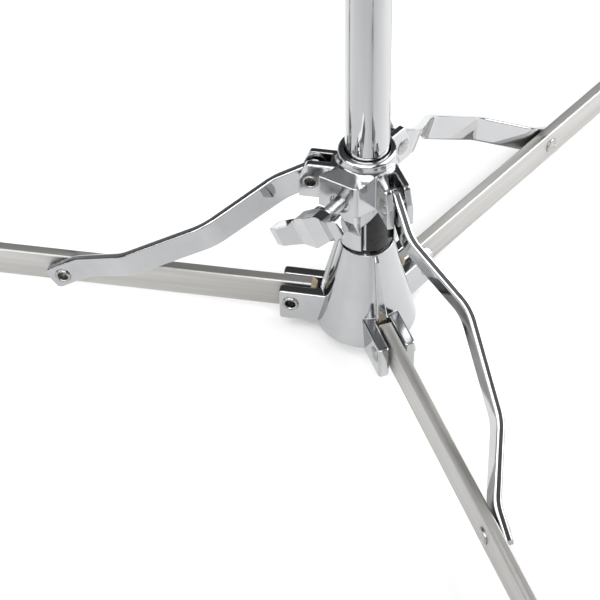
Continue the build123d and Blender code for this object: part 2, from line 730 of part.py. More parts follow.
def collar_boss():
    """Faceted block that carries the wing bolt: sloped shoulder above, tapering foot below."""
    outline = ((-30.3, -3.4), (-15.0, -22.1), (5.6, -16.9), (6.0, 0), (-14.0, 8.0))
    with BuildPart() as curve:
        with BuildSketch(Plane.XY.offset(PIVOT_Z + COLLAR_BODY_H)) as block:
            with BuildLine():
                Polyline(*outline, close=True)
            make_face()
            fillet(vertices().sort_by(Axis.Y)[0], BOSS_CORNER)
        extrude(amount=COLLAR_R * 2)
        add(collar_neck(), mode=Mode.INTERSECT)
    with BuildPart() as boss:
        extrude(block.sketch, amount=COLLAR_SHOULDER_H - COLLAR_BODY_H)
        extrude(boss.faces().sort_by(Axis.Z)[-1], amount=BOSS_SLOPE_RISE, taper=BOSS_SLOPE_ANGLE)
        add(curve.part)
        with BuildSketch(side_plane(BOSS_AZIMUTH, BOSS_FOOT_LEFT_N)):
            with BuildLine():
                Polyline(
                    (COLLAR_R - 6, COLLAR_BODY_H + 2),
                    (BOSS_FACE_R, COLLAR_BODY_H + 2),
                    (BOSS_FACE_R, COLLAR_BODY_H - 5),
                    (COLLAR_R, BOSS_FOOT_H),
                    (COLLAR_R - 6, BOSS_FOOT_H),
                    close=True,
                )
            make_face()
        extrude(amount=BOSS_FOOT_WIDTH)
    return boss.part


def collar_ears():
    """Clevis for one stay, pointing along +X: two ears with softened edges."""
    inner_r = COLLAR_R - 6
    with BuildPart() as ears:
        with BuildSketch(side_plane(0, STAY_PIN_N + COLLAR_EAR_OUTER)):
            with BuildLine():
                Polyline(
                    (inner_r, COLLAR_BODY_H),
                    (COLLAR_EAR_END_R, COLLAR_BODY_H),
                    (COLLAR_EAR_END_R, COLLAR_BODY_H + 14),
                    (COLLAR_EAR_TOP_R, COLLAR_EAR_TOP_H),
                    (inner_r, COLLAR_EAR_TOP_H),
                    close=True,
                )
            make_face()
            fillet(vertices().filter_by_position(Axis.X, COLLAR_R, 2 * COLLAR_R), 2.6)
        extrude(amount=2 * COLLAR_EAR_OUTER)
        with BuildSketch(side_plane(0, STAY_PIN_N + COLLAR_EAR_INNER)):
            with Locations((COLLAR_SLOT_ROOT_R, COLLAR_BODY_H - 5)):
                Rectangle(2 * COLLAR_R, 40, align=(Align.MIN, Align.MIN))
        extrude(amount=2 * COLLAR_EAR_INNER, mode=Mode.SUBTRACT)
        outer_faces = ears.faces().filter_by(Axis.Y).sort_by(Axis.Y)
        rims = outer_faces[0].edges() + outer_faces[-1].edges()
        fillet(rims.filter_by_position(Axis.X, COLLAR_R + 1, 2 * COLLAR_R), COLLAR_EAR_EDGE)
    return ears.part


with BuildPart() as stay_collar:
    add(collar_shell())
    for azimuth in WINDOW_AZIMUTHS:
        with BuildSketch(face_plane(azimuth, 0, 0)):
            with BuildLine():
                Polyline(
                    (-WINDOW_HALF_WIDTH, COLLAR_SKIRT_H - 1),
                    (WINDOW_HALF_WIDTH, COLLAR_SKIRT_H - 1),
                    (WINDOW_HALF_WIDTH, WINDOW_SIDE_H),
                    (0, WINDOW_PEAK_H),
                    (-WINDOW_HALF_WIDTH, WINDOW_SIDE_H),
                    close=True,
                )
            make_face()
        extrude(amount=2 * COLLAR_R, mode=Mode.SUBTRACT)
    add(collar_boss())
    with PolarLocations(0, len(LEGS), start_angle=LEGS["c"]):
        add(collar_ears())
    for azimuth in LEGS.values():
        with BuildSketch(side_plane(azimuth, STAY_PIN_N + COLLAR_EAR_INNER)):
            with Locations((COLLAR_SLOT_ROOT_R, COLLAR_BODY_H - 5)):
                Rectangle(2 * COLLAR_R, 40, align=(Align.MIN, Align.MIN))
        extrude(amount=2 * COLLAR_EAR_INNER, mode=Mode.SUBTRACT)
        with BuildSketch(side_plane(azimuth, STAY_PIN_N + COLLAR_EAR_OUTER + 1)):
            with Locations((STAY_PIN_R, STAY_PIN_H)):
                Circle(SHANK_R + SEAT_GAP)
        extrude(amount=2 * COLLAR_EAR_OUTER + 2, mode=Mode.SUBTRACT)
    with BuildSketch(Plane.XY.offset(PIVOT_Z + COLLAR_SKIRT_H - 1)):
        Circle(BUSH_OUTER_R + SEAT_GAP)
    extrude(amount=BUSH_HIGH_H - COLLAR_SKIRT_H + 1.2, mode=Mode.SUBTRACT)
    with BuildSketch(Plane.XY.offset(PIVOT_Z + COLLAR_SKIRT_H)):
        Circle(TUBE_R + 0.7)
    extrude(amount=COLLAR_TOP_H, mode=Mode.SUBTRACT)
    with BuildSketch(face_plane(BOLT_AZIMUTH, 0, BOLT_H)):
        Circle(BOLT_R + PIN_GAP)
    extrude(amount=2 * BOSS_FACE_R, mode=Mode.SUBTRACT)
    with BuildSketch(face_plane(BOLT_AZIMUTH, BOSS_FACE_R - 1.4, BOLT_H)):
        Circle(BOLT_R + 2.2)
    extrude(amount=BOSS_FACE_R, mode=Mode.SUBTRACT)
save(stay_collar, "stay_collar")

with BuildPart() as collar_bush:
    add(ring(BUSH_OUTER_R, TUBE_R + PIN_GAP, PIVOT_Z + BUSH_LOW_H, PIVOT_Z + BUSH_HIGH_H))
    with BuildSketch(face_plane(BUSH_SLIT_AZIMUTH, 0, BUSH_LOW_H)):
        Rectangle(BUSH_SLIT, 4 * COLLAR_SKIRT_H)
    extrude(amount=2 * BUSH_OUTER_R, mode=Mode.SUBTRACT)
save(collar_bush, "collar_bush")

with BuildPart() as collar_rivets:
    for azimuth in LEGS.values():
        head_n = STAY_PIN_N - COLLAR_EAR_OUTER
        with Locations(pin_plane(azimuth, STAY_PIN_R, STAY_PIN_H, head_n).location):
            add(rivet(2 * COLLAR_EAR_OUTER, SMALL_CURL_R, SMALL_CURL_HEIGHT))
save(collar_rivets, "collar_rivets")

wing_bolt(
    "collar_wing_bolt",
    face_plane(BOLT_AZIMUTH, BOSS_FACE_R, BOLT_H, WING_ROLL),
    size=1.1,
    radius=BOLT_R,
    inside=BOSS_FACE_R - BUSH_OUTER_R - FACE_GAP,
    outside=COLLAR_BOLT_OUT,
)


# ---- Height clamps ------------------------------------------------------------------------
def build_height_clamp(prefix, outer_r, outer_wall, inner_r, tube_top, wing_size):
    """Clamp casting on a tube's top, its split nylon bush and its wing bolt."""
    low = tube_top - (CLAMP_LENGTH - CLAMP_HEAD)
    high = tube_top + CLAMP_HEAD
    body_r = outer_r + 5.0
    face_r = outer_r + 12.0
    bolt_z = tube_top + CLAMP_HEAD / 2
    with BuildPart() as clamp:
        with BuildSketch(Plane.XZ):
            with BuildLine():
                Polyline(
                    (0, low),
                    (outer_r + 2.4, low),
                    (outer_r + 3.0, low + 14),
                    (body_r, low + 20),
                    (body_r, high),
                    (0, high),
                    close=True,
                )
            make_face()
        revolve(axis=Axis.Z)
        fillet(clamp.faces().sort_by(Axis.Z)[-1].edges(), 1.6)
        with BuildSketch(face_plane(CLAMP_AZIMUTH, outer_r, bolt_z - PIVOT_Z)):
            RectangleRounded(17, 17, 3.5)
        extrude(amount=face_r - outer_r)
        front = clamp.faces().sort_by(Axis((0, 0, 0), radial(CLAMP_AZIMUTH)))[-1]
        fillet(front.edges(), 1.2)
        with BuildSketch(Plane.XY.offset(low - 1)):
            Circle(outer_r + SEAT_GAP)
        extrude(amount=tube_top + 0.2 - low + 1, mode=Mode.SUBTRACT)
        with BuildSketch(Plane.XY.offset(tube_top)):
            Circle(outer_r - 0.6)
        extrude(amount=2 * CLAMP_HEAD, mode=Mode.SUBTRACT)
        with BuildSketch(face_plane(CLAMP_AZIMUTH, 0, bolt_z - PIVOT_Z)):
            Circle(BOLT_R + PIN_GAP)
        extrude(amount=2 * face_r, mode=Mode.SUBTRACT)
    save(clamp, f"{prefix}_clamp")
    with BuildPart() as bush:
        bore_r = inner_r + PIN_GAP
        add(ring(outer_r - 0.9, bore_r, tube_top + FACE_GAP, high + 1.5))
        add(ring(outer_r + 2.5, bore_r, high + FACE_GAP, high + 2.6))
        sleeve_r = outer_r - outer_wall - 0.1
        add(ring(sleeve_r, bore_r, tube_top - CLAMP_BUSH_DEPTH, tube_top + 1))
    save(bush, f"{prefix}_clamp_bush")
    wing_bolt(
        f"{prefix}_clamp_wing_bolt",
        face_plane(CLAMP_AZIMUTH, face_r, bolt_z - PIVOT_Z),
        size=wing_size,
        radius=BOLT_R,
        inside=face_r - outer_r + 0.9 - FACE_GAP,
        outside=5.0,
    )


build_height_clamp("lower", TUBE_R, TUBE_WALL, MID_TUBE_R, TUBE_TOP_Z, 1.0)
build_height_clamp("mid", MID_TUBE_R, MID_TUBE_WALL, UPPER_TUBE_R, MID_TUBE_TOP_Z, 0.85)

with BuildPart() as mid_tube:
    mid_inner_r = MID_TUBE_R - MID_TUBE_WALL
    add(ring(MID_TUBE_R, mid_inner_r, MID_TUBE_BOTTOM_Z, MID_TUBE_TOP_Z))
save(mid_tube, "mid_tube")

with BuildPart() as upper_tube:
    upper_inner_r = UPPER_TUBE_R - UPPER_TUBE_WALL
    add(ring(UPPER_TUBE_R, upper_inner_r, UPPER_TUBE_BOTTOM_Z, UPPER_TUBE_TOP_Z))
save(upper_tube, "upper_tube")


# ---- Boom tilter --------------------------------------------------------------------------
TILTER_BOLT_R = 4.0
TOOTH_GAP = 0.2  # the toothed faces stand this far apart when the bolt is slack
SOCKET_R = 10.5
SOCKET_LOW_Z = 860.0
SOCKET_HIGH_Z = 885.0

base_disc_plane = Plane(
    origin=(-TILTER_DISC_THICK - TOOTH_GAP, 0, TILTER_Z), x_dir=(0, 1, 0), z_dir=(1, 0, 0)
)
head_disc_plane = Plane(
    origin=(TILTER_DISC_THICK + TOOTH_GAP, 0, TILTER_Z), x_dir=(0, 1, 0), z_dir=(-1, 0, 0)
)

with BuildPart() as tilter_base:
    with BuildSketch(Plane.XY.offset(SOCKET_LOW_Z)):
        Circle(SOCKET_R)
    extrude(amount=SOCKET_HIGH_Z - SOCKET_LOW_Z)
    fillet(tilter_base.edges().filter_by(GeomType.CIRCLE), 1.4)
    with BuildSketch(Plane.YZ.offset(-TILTER_DISC_THICK - TOOTH_GAP)):
        with Locations((0, (SOCKET_LOW_Z + 10 + TILTER_Z) / 2)):
            Rectangle(2 * SOCKET_R - 3, TILTER_Z - SOCKET_LOW_Z - 10)
    extrude(amount=TILTER_DISC_THICK - 1.5)
    with Locations(base_disc_plane.location):
        add(toothed_disc(TILTER_DISC_R, TILTER_DISC_THICK, TILTER_BOLT_R + PIN_GAP))
    with BuildSketch(Plane.YZ.offset(-2 * TILTER_DISC_THICK)):
        with Locations((0, TILTER_Z)):
            Circle(TILTER_BOLT_R + PIN_GAP)
    extrude(amount=2 * TILTER_DISC_THICK, mode=Mode.SUBTRACT)
    with BuildSketch(Plane.XY.offset(SOCKET_LOW_Z - 1)):
        Circle(UPPER_TUBE_R + SEAT_GAP)
    extrude(amount=UPPER_TUBE_TOP_Z - SOCKET_LOW_Z + 1.2, mode=Mode.SUBTRACT)
save(tilter_base, "tilter_base")

boom_dir = Vector(0, cos(radians(BOOM_RISE)), sin(radians(BOOM_RISE)))


def boom_plane(distance):
    """Plane across the boom at a distance past the tilter, facing the cymbal."""
    origin = Vector(BOOM_X, 0, TILTER_Z) + boom_dir * distance
    return Plane(origin=origin, x_dir=(1, 0, 0), z_dir=boom_dir)


with BuildPart() as tilter_head:
    with Locations(head_disc_plane.location):
        add(toothed_disc(TILTER_DISC_R, TILTER_DISC_THICK, TILTER_BOLT_R + PIN_GAP))
    with BuildSketch(boom_plane(-BOOM_SLEEVE_HALF)):
        Circle(BOOM_SLEEVE_R)
    extrude(amount=2 * BOOM_SLEEVE_HALF)
    fillet(tilter_head.edges().filter_by(GeomType.CIRCLE).group_by(Edge.length)[-1], 1.0)
    with BuildSketch(Plane.YZ.offset(TILTER_DISC_THICK - 1)):
        with Locations((0, TILTER_Z)):
            Circle(TILTER_DISC_R - 5)
    extrude(amount=BOOM_X - TILTER_DISC_THICK + 1)
    with BuildSketch(Plane.YZ.offset(BOOM_X)):
        with Locations((0, TILTER_Z)):
            Circle(7.5)
    extrude(amount=BOOM_SLEEVE_R + 4)
    with BuildSketch(boom_plane(-2 * BOOM_SLEEVE_HALF)):
        Circle(BOOM_BUSH_R + SEAT_GAP)
    extrude(amount=4 * BOOM_SLEEVE_HALF, mode=Mode.SUBTRACT)
    with BuildSketch(Plane.YZ.offset(BOOM_X)):
        with Locations((0, TILTER_Z)):
            Circle(BOLT_R + PIN_GAP)
    extrude(amount=4 * BOOM_SLEEVE_R, mode=Mode.SUBTRACT)
    with BuildSketch(Plane.YZ.offset(-TOOTH_GAP)):
        with Locations((0, TILTER_Z)):
            Circle(TILTER_BOLT_R + PIN_GAP)
    extrude(amount=TILTER_DISC_THICK + 2, mode=Mode.SUBTRACT)
save(tilter_head, "tilter_head")

tilter_bolt_plane = Plane(
    origin=(-TILTER_DISC_THICK - TOOTH_GAP, 0, TILTER_Z), x_dir=(0, 0, 1), z_dir=(-1, 0, 0)
)
wing_bolt(
    "tilter_wing_bolt",
    tilter_bolt_plane,
    size=1.0,
    radius=TILTER_BOLT_R,
    inside=2 * TILTER_DISC_THICK,
    outside=3.0,
)

with BuildPart() as boom_bush:
    with BuildSketch(boom_plane(-BOOM_SLEEVE_HALF - 1.5)):
        Circle(BOOM_BUSH_R)
        Circle(BOOM_R + PIN_GAP, mode=Mode.SUBTRACT)
    extrude(amount=2 * BOOM_SLEEVE_HALF + 3)
save(boom_bush, "boom_bush")

boom_bolt_plane = Plane(
    origin=(BOOM_X + BOOM_SLEEVE_R + 4, 0, TILTER_Z), x_dir=boom_dir, z_dir=(1, 0, 0)
)
wing_bolt(
    "boom_clamp_wing_bolt",
    boom_bolt_plane,
    size=0.85,
    radius=BOLT_R,
    inside=BOOM_SLEEVE_R + 4 - BOOM_BUSH_R - FACE_GAP,
    outside=4.0,
)

# ---- Boom rod and cymbal seat -------------------------------------------------------------
SEAT_DISTANCE = SEAT_Y / cos(radians(BOOM_RISE))
SEAT_Z = TILTER_Z + SEAT_DISTANCE * sin(radians(BOOM_RISE))
SEAT_SOCKET_END = SEAT_DISTANCE - SEAT_DISC_R - 1
SEAT_SOCKET_LENGTH = 24.0
SEAT_SOCKET_R = 8.0
ROD_X = BOOM_X + TOOTH_GAP + SEAT_DISC_THICK / 2

with BuildPart() as boom_rod:
    with BuildSketch(boom_plane(-BOOM_TAIL)):
        Circle(BOOM_R)
    extrude(amount=BOOM_TAIL + SEAT_SOCKET_END - 3)
save(boom_rod, "boom_rod")

with BuildPart() as boom_end_cap:
    with BuildSketch(boom_plane(-BOOM_TAIL - 4)):
        Circle(BOOM_R + 2)
    extrude(amount=22)
    fillet(boom_end_cap.edges(), 1.6)
    with BuildSketch(boom_plane(-BOOM_TAIL)):
        Circle(BOOM_R + SEAT_GAP)
    extrude(amount=30, mode=Mode.SUBTRACT)
save(boom_end_cap, "boom_end_cap")

seat_base_plane = Plane(
    origin=(BOOM_X - SEAT_DISC_THICK - TOOTH_GAP, SEAT_Y, SEAT_Z), x_dir=boom_dir, z_dir=(1, 0, 0)
)
seat_head_plane = Plane(
    origin=(BOOM_X + SEAT_DISC_THICK + TOOTH_GAP, SEAT_Y, SEAT_Z), x_dir=(0, 1, 0), z_dir=(-1, 0, 0)
)
SEAT_SCREW_R = 3.0

with BuildPart() as seat_base:
    with BuildSketch(boom_plane(SEAT_SOCKET_END - SEAT_SOCKET_LENGTH)):
        Circle(SEAT_SOCKET_R)
    extrude(amount=SEAT_SOCKET_LENGTH)
    fillet(seat_base.edges().filter_by(GeomType.CIRCLE), 1.2)
    with BuildSketch(seat_base_plane):
        with Locations((-SEAT_DISC_R, 0)):
            Rectangle(SEAT_DISC_R + 8, 2 * SEAT_SOCKET_R - 3)
    extrude(amount=SEAT_DISC_THICK - 1.2)
    with Locations(seat_base_plane.location):
        add(toothed_disc(SEAT_DISC_R, SEAT_DISC_THICK, SEAT_SCREW_R + PIN_GAP))
    with BuildSketch(seat_base_plane):
        Circle(SEAT_SCREW_R + PIN_GAP)
    extrude(amount=SEAT_DISC_THICK, mode=Mode.SUBTRACT)
    with BuildSketch(boom_plane(0)):
        Circle(BOOM_R + SEAT_GAP)
    extrude(amount=SEAT_SOCKET_END - 2.8, mode=Mode.SUBTRACT)
save(seat_base, "seat_base")

with BuildPart() as seat_head:
    with Locations(seat_head_plane.location):
        add(toothed_disc(SEAT_DISC_R, SEAT_DISC_THICK, SEAT_SCREW_R + PIN_GAP))
    with BuildSketch(Plane.XY.offset(SEAT_Z + 5)):
        with Locations((ROD_X, SEAT_Y)):
            Circle(SEAT_DISC_THICK / 2 + 0.1)
    extrude(amount=4)
    with BuildSketch(Plane.XY.offset(SEAT_Z + SEAT_DISC_R + 0.5)):
        with Locations((ROD_X, SEAT_Y)):
            Circle(6.6)
    extrude(amount=SEAT_NECK_TOP - SEAT_DISC_R - 0.5)
    with BuildSketch(Plane.XY.offset(SEAT_Z + 8)):
        with Locations((ROD_X, SEAT_Y)):
            Circle(SEAT_DISC_THICK / 2 - 0.2)
    extrude(amount=6)
    with BuildSketch(Plane.XY.offset(SEAT_Z + SEAT_DISC_R + 1.5)):
        with Locations((ROD_X, SEAT_Y)):
            Circle(ROD_R + SEAT_GAP)
    extrude(amount=SEAT_NECK_TOP, mode=Mode.SUBTRACT)
save(seat_head, "seat_head")

seat_screw_plane = Plane(
    origin=(BOOM_X - SEAT_DISC_THICK - TOOTH_GAP, SEAT_Y, SEAT_Z), x_dir=(0, 0, 1), z_dir=(-1, 0, 0)
)
wing_bolt(
    "seat_wing_screw",
    seat_screw_plane,
    size=0.6,
    radius=SEAT_SCREW_R,
    inside=2 * SEAT_DISC_THICK,
    outside=2.0,
)

seat_axis = Plane(origin=(ROD_X, SEAT_Y, SEAT_Z), x_dir=(1, 0, 0), z_dir=(0, 0, 1))


def build_seat_ring(name, outer_r, inner_r, low, high, edge_round):
    """Ring around the cymbal rod, its outer rims rounded."""
    with BuildPart() as piece:
        with BuildSketch(seat_axis.offset(low)):
            Circle(outer_r)
            Circle(inner_r, mode=Mode.SUBTRACT)
        extrude(amount=high - low)
        rims = piece.edges().filter_by(GeomType.CIRCLE).group_by(SortBy.RADIUS)[-1]
        fillet(rims, edge_round)
    save(piece, name)


with BuildPart() as cymbal_rod:
    thread_start = ROD_TOP - ROD_THREAD_LENGTH
    with BuildSketch(seat_axis.offset(SEAT_DISC_R + 2)):
        Circle(ROD_R)
    extrude(amount=thread_start - SEAT_DISC_R - 2)
    with Locations(seat_axis.location):
        add(thread(ROD_R, thread_start - 12, ROD_TOP))
save(cymbal_rod, "cymbal_rod")

SLEEVE_R = 5.9
build_seat_ring("seat_cup", FELT_R - 1, ROD_R + 0.1, SEAT_NECK_TOP, CUP_TOP, 1.2)
build_seat_ring("felt_lower", FELT_R, SLEEVE_R + 0.2, CUP_TOP, LOWER_FELT_TOP, 2.5)
build_seat_ring("felt_upper", FELT_R, SLEEVE_R + 0.2, UPPER_FELT_LOW, UPPER_FELT_TOP, 2.5)
build_seat_ring("cup_washer", FELT_R - 5, ROD_R + 0.1, UPPER_FELT_TOP, UPPER_FELT_TOP + 2, 0.8)
build_seat_ring("seat_sleeve", SLEEVE_R, ROD_R + 0.1, CUP_TOP, UPPER_FELT_TOP - 0.4, 0.6)

with BuildPart() as cymbal_wing_nut:
    nut_low = UPPER_FELT_TOP + 2.4
    with Locations(seat_axis.offset(nut_low).location):
        add(wing_head(0.85))
    with BuildSketch(seat_axis.offset(nut_low - 1)):
        Circle(ROD_R + PIN_GAP)
    extrude(amount=30, mode=Mode.SUBTRACT)
save(cymbal_wing_nut, "cymbal_wing_nut")
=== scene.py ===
import json
import math

import bpy
from mathutils import Matrix, Vector, noise


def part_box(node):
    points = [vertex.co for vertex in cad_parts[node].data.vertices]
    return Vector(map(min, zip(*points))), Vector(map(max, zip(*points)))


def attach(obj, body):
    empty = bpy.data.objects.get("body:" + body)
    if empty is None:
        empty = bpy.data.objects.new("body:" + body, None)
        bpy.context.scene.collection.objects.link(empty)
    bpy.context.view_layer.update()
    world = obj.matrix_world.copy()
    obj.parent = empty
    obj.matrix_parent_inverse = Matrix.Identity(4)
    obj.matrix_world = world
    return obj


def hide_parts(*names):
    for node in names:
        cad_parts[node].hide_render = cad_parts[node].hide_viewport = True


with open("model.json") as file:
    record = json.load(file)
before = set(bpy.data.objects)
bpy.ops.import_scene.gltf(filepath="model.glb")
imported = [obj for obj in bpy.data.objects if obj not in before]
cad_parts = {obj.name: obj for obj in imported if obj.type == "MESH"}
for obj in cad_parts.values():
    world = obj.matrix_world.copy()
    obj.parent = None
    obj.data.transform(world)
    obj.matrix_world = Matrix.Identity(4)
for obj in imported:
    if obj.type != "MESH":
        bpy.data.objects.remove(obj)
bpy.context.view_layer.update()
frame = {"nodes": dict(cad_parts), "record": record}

# Cymbal boom stand: the CAD model with its finishes, felts of its own, a plain studio and the camera.
# Metres, in the frame of the CAD model: +Z up, floor at z = 0, the upright tubes on the Z axis.

MM = 0.001
nodes = frame["nodes"]
LEG_AZIMUTHS = {"a": 150.0, "b": 270.0, "c": 30.0}


# ---- Small node helpers -------------------------------------------------------------------
class Graph:
    """A material's node tree with short calls for the nodes that the finishes share."""

    def __init__(self, name):
        self.material = bpy.data.materials.new(name)
        self.material.use_nodes = True
        self.tree = self.material.node_tree
        self.shader = self.tree.nodes["Principled BSDF"]
        self.coords = self.tree.nodes.new("ShaderNodeTexCoord").outputs["Object"]

    def node(self, kind, **settings):
        made = self.tree.nodes.new(kind)
        for key, value in settings.items():
            setattr(made, key, value)
        return made

    def link(self, source, target):
        self.tree.links.new(source, target)

    def mapped(self, scale=(1, 1, 1), rotation=(0, 0, 0)):
        """Object coordinates, turned and then stretched."""
        turn = self.node("ShaderNodeMapping", vector_type="POINT")
        turn.inputs["Rotation"].default_value = [math.radians(a) for a in rotation]
        stretch = self.node("ShaderNodeMapping", vector_type="POINT")
        stretch.inputs["Scale"].default_value = scale
        self.link(self.coords, turn.inputs["Vector"])
        self.link(turn.outputs["Vector"], stretch.inputs["Vector"])
        return stretch.outputs["Vector"]

    def noise(self, scale, detail=3.0, vector=None, roughness=0.55):
        """Noise factor, from 0 to 1, with scale in cycles per metre."""
        made = self.node("ShaderNodeTexNoise")
        made.inputs["Scale"].default_value = scale
        made.inputs["Detail"].default_value = detail
        made.inputs["Roughness"].default_value = roughness
        self.link(vector or self.coords, made.inputs["Vector"])
        return made.outputs["Fac"]

    def ramp(self, factor, stops):
        """Colour ramp over a factor; stops are (position, colour)."""
        made = self.node("ShaderNodeValToRGB")
        elements = made.color_ramp.elements
        while len(elements) < len(stops):
            elements.new(1.0)
        for element, (position, colour) in zip(elements, stops):
            element.position = position
            element.color = (*colour, 1)
        self.link(factor, made.inputs["Fac"])
        return made.outputs["Color"]

    def spread(self, factor, low, high):
        """Factor from 0 to 1 stretched to low..high."""
        made = self.node("ShaderNodeMapRange")
        made.inputs["To Min"].default_value = low
        made.inputs["To Max"].default_value = high
        self.link(factor, made.inputs["Value"])
        return made.outputs["Result"]

    def bump(self, height, distance, strength, normal=None):
        """Bump from a height factor; distance is its depth in metres."""
        made = self.node("ShaderNodeBump")
        made.inputs["Distance"].default_value = distance
        made.inputs["Strength"].default_value = strength
        self.link(height, made.inputs["Height"])
        if normal is not None:
            self.link(normal, made.inputs["Normal"])
        return made.outputs["Normal"]

    def bevel(self, radius):
        """Normals as if every sharp edge had this radius."""
        made = self.node("ShaderNodeBevel", samples=6)
        made.inputs["Radius"].default_value = radius
        return made.outputs["Normal"]

    def finish(self, metallic, roughness=None, colour=None, normal=None):
        """Wire what varies into the shader and set what doesn't on its own socket."""
        self.shader.inputs["Metallic"].default_value = metallic
        for value, socket in ((roughness, "Roughness"), (colour, "Base Color"), (normal, "Normal")):
            if value is not None:
                self.link(value, self.shader.inputs[socket])
        return self.material


def grey(level, tint=(1.0, 1.0, 1.0)):
    """Grey of a level, slightly tinted."""
    return tuple(level * part for part in tint)


COOL = (0.985, 1.0, 1.02)
WARM = (1.02, 1.0, 0.96)


# ---- Finishes -----------------------------------------------------------------------------
def chrome(name, level, edge_radius, wave_scale, wave_depth, rough, stretch=(1, 1, 1)):
    """Plated metal: slight waviness under the plating and faint, uneven polish."""
    graph = Graph(name)
    vector = graph.mapped(scale=stretch)
    haze = graph.noise(90, 4, vector)
    colour = graph.ramp(haze, ((0.3, grey(level * 0.94, COOL)), (0.7, grey(level, COOL))))
    waves = graph.noise(wave_scale, 1.5, vector)
    normal = graph.bump(waves, wave_depth, 1.0, graph.bevel(edge_radius))
    return graph.finish(1.0, graph.spread(haze, *rough), colour, normal)


def brushed_leg(name, azimuth):
    """Satin bar brushed along its length, with a few long dull streaks."""
    graph = Graph(name)
    along = graph.mapped(scale=(2.2, 300, 300), rotation=(0, 0, -azimuth))
    lines = graph.noise(9, 6, along, 0.7)
    streaks = graph.noise(1.4, 3, graph.mapped(scale=(2.5, 60, 60), rotation=(0, 0, -azimuth)))
    colour = graph.ramp(
        streaks,
        ((0.32, grey(0.36, WARM)), (0.5, grey(0.45, WARM)), (0.72, grey(0.55, COOL))),
    )
    normal = graph.bump(lines, 0.06 * MM, 0.5, graph.bevel(0.4 * MM))
    graph.shader.inputs["Anisotropic"].default_value = 0.5
    return graph.finish(1.0, graph.spread(lines, 0.42, 0.6), colour, normal)


def steel(name, level, tint):
    """Bare fastener steel with darker, duller patches."""
    graph = Graph(name)
    patches = graph.noise(700, 5)
    colour = graph.ramp(patches, ((0.3, grey(level * 0.55, tint)), (0.65, grey(level, tint))))
    normal = graph.bump(graph.noise(1500, 3), 0.03 * MM, 0.6, graph.bevel(0.2 * MM))
    return graph.finish(1.0, graph.spread(patches, 0.38, 0.16), colour, normal)


def plastic(name, dark, light, rough, grain_scale, grain_depth):
    """Moulded plastic or rubber with a fine grain and slightly uneven colour."""
    graph = Graph(name)
    cloud = graph.noise(120, 4)
    colour = graph.ramp(cloud, ((0.3, dark), (0.7, light)))
    grain = graph.noise(grain_scale, 3)
    normal = graph.bump(grain, grain_depth, 0.5, graph.bevel(0.4 * MM))
    graph.shader.inputs["Specular IOR Level"].default_value = 0.25
    return graph.finish(0.0, graph.spread(cloud, *rough), colour, normal)


def felt(name):
    """Pressed wool: tangled fibres, mottled grey."""
    graph = Graph(name)
    fibres = graph.noise(2600, 8, None, 0.75)
    mottle = graph.noise(420, 4)
    mix = graph.node("ShaderNodeMath", operation="MULTIPLY_ADD")
    graph.link(fibres, mix.inputs[0])
    mix.inputs[1].default_value = 0.6
    graph.link(graph.spread(mottle, 0.0, 0.4), mix.inputs[2])
    colour = graph.ramp(
        mix.outputs["Value"],
        ((0.3, (0.055, 0.055, 0.06)), (0.55, (0.13, 0.13, 0.135)), (0.8, (0.27, 0.27, 0.275))),
    )
    normal = graph.bump(fibres, 0.6 * MM, 0.9)
    graph.shader.inputs["Sheen Weight"].default_value = 0.5
    graph.shader.inputs["Sheen Roughness"].default_value = 0.6
    return graph.finish(0.0, graph.spread(mottle, 0.85, 0.98), colour, normal)


CHROMES = (  # name, level, edge radius, wave scale, wave depth, roughness range, stretch
    ("cast_chrome", 0.45, 0.8 * MM, 45, 0.2 * MM, (0.06, 0.14)),
    ("tube_chrome", 0.46, 0.3 * MM, 30, 0.04 * MM, (0.02, 0.06), (1, 1, 0.15)),
    ("stay_chrome", 0.44, 0.5 * MM, 28, 0.25 * MM, (0.03, 0.08)),
    ("bolt_chrome", 0.5, 0.4 * MM, 90, 0.14 * MM, (0.04, 0.12)),
    ("wing_chrome", 0.5, 0.9 * MM, 70, 0.2 * MM, (0.04, 0.12)),
    ("collar_chrome", 0.48, 1.2 * MM, 70, 0.3 * MM, (0.1, 0.22)),
)
STEELS = (  # name, level, tint
    ("rivet_steel", 0.42, WARM),
    ("plug_steel", 0.5, COOL),
)
PLASTICS = (  # name, dark colour, light colour, roughness range, grain scale, grain depth
    ("black_nylon", (0.008, 0.008, 0.009), (0.016, 0.016, 0.017), (0.22, 0.36), 900, 0.04 * MM),
    ("cream_nylon", (0.40, 0.34, 0.23), (0.58, 0.52, 0.39), (0.35, 0.5), 700, 0.05 * MM),
    ("black_rubber", (0.012, 0.012, 0.012), (0.03, 0.03, 0.03), (0.55, 0.75), 1600, 0.1 * MM),
)
finishes = {}
for finish_kind, table in ((chrome, CHROMES), (steel, STEELS), (plastic, PLASTICS)):
    for settings in table:
        finishes[settings[0]] = finish_kind(*settings)
felt_finish = felt("grey_felt")


def dress(node, material):
    """Give a CAD node one material in every slot."""
    mesh_object = nodes[node]
    if not mesh_object.material_slots:
        mesh_object.data.materials.append(material)
    for slot in mesh_object.material_slots:
        slot.material = material


for entry in frame["record"]["subparts"]:
    if entry["material_slot"] in finishes:
        dress(entry["node"], finishes[entry["material_slot"]])
for node in nodes:
    if "_wing_" in node:
        dress(node, finishes["wing_chrome"])
dress("stay_collar", finishes["collar_chrome"])
for letter, azimuth in LEG_AZIMUTHS.items():
    dress(f"leg_bar_{letter}", brushed_leg(f"leg_metal_{letter}", azimuth))


